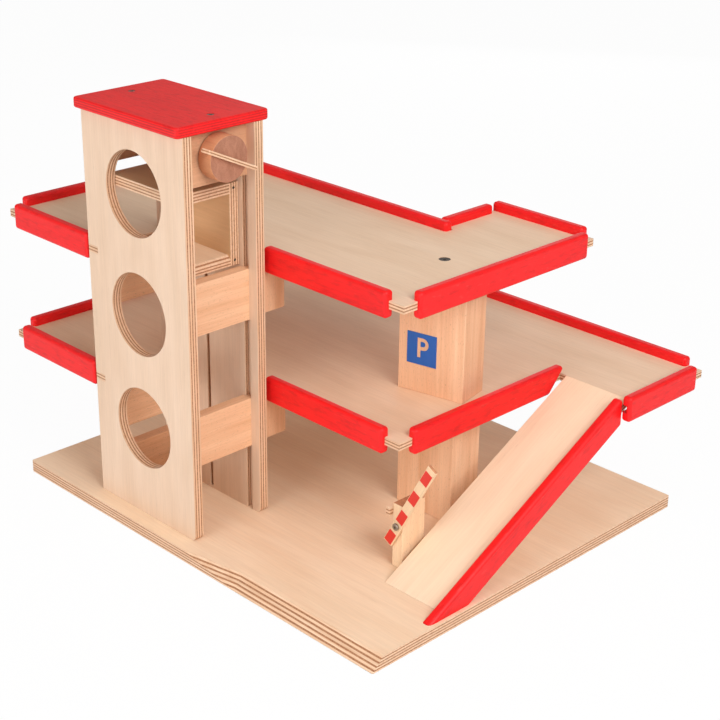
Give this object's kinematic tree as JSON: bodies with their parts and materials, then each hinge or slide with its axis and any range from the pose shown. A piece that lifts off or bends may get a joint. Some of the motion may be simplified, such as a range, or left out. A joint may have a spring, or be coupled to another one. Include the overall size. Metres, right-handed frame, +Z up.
{
  "type": "toy parking garage with lift",
  "caption": "Wooden toy parking garage with two railed decks, a ramp with a swinging gate, and a tower whose lift cabin is raised by a hand winch.",
  "frame": {"origin": "centre of the ground board's underside", "axes": "+X from the tower's back towards its open front along the ramp side, +Y from the tower across the board, +Z up"},
  "size_m": [0.66, 0.546, 0.4945],
  "materials": {
    "birch_plywood": "matte",
    "beech": "matte",
    "red_lacquer": "satin",
    "red_marks": "satin",
    "sign_blue": "matte",
    "steel_screws": "satin"
  },
  "bodies": {
    "garage": {"base_board": "birch_plywood", "deck_bracket_lower": "beech", "deck_bracket_upper": "beech", "deck_screw": "steel_screws", "front_guard_lower": "beech", "front_guard_upper": "beech", "gate_post": "beech", "gate_screw": "steel_screws", "gate_stop": "birch_plywood", "lower_deck": "birch_plywood", "lower_rail_back": "red_lacquer", "lower_rail_front": "red_lacquer", "lower_rail_landing": "red_lacquer", "lower_rail_left": "red_lacquer", "lower_rail_right": "red_lacquer", "lower_rail_tower": "red_lacquer", "parking_sign": "sign_blue", "pillar_lower": "beech", "pillar_upper": "beech", "ramp_board": "birch_plywood", "ramp_rail": "red_lacquer", "rear_guard_ground": "beech", "rear_support_lower": "beech", "rear_support_upper": "beech", "rear_top_crosspiece": "beech", "roof_screws": "steel_screws", "tower_left_panel": "birch_plywood", "tower_right_panel": "birch_plywood", "tower_roof": "red_lacquer", "upper_deck": "birch_plywood", "upper_rail_back": "red_lacquer", "upper_rail_bay_back": "red_lacquer", "upper_rail_bay_side": "red_lacquer", "upper_rail_front": "red_lacquer", "upper_rail_left": "red_lacquer", "upper_rail_right": "red_lacquer", "upper_rail_tower": "red_lacquer", "winch_block": "beech"},
    "cabin": {"cabin_floor": "birch_plywood", "cabin_roof": "birch_plywood", "cabin_wall": "birch_plywood", "cabin_pins": "steel_screws", "cabin_guide_peg": "steel_screws"},
    "winch": {"winch_knob": "beech", "winch_handle": "birch_plywood", "winch_spindle": "beech", "winch_drum": "beech"},
    "gate": {"gate_arm": "beech", "gate_marks": "red_marks"}
  },
  "joints": [
    {"name": "lift_slide", "type": "slide", "parent": "garage", "child": "cabin", "axis": [0, 0, 1], "range_m": [-0.302, 0.006]},
    {"name": "winch_turn", "type": "hinge", "parent": "garage", "child": "winch", "pos_m": [-0.005, -0.17675, 0.4525], "axis": [1, 0, 0], "range_deg": [-2200, 60]},
    {"name": "gate_swing", "type": "hinge", "parent": "garage", "child": "gate", "pos_m": [0.1937, -0.1086, 0.0695], "axis": [0, -1, 0], "range_deg": [-61, 15]}
  ],
  "couplings": [
    {"joint": "winch_turn", "follows": "lift_slide", "rad_per_m": 125}
  ]
}
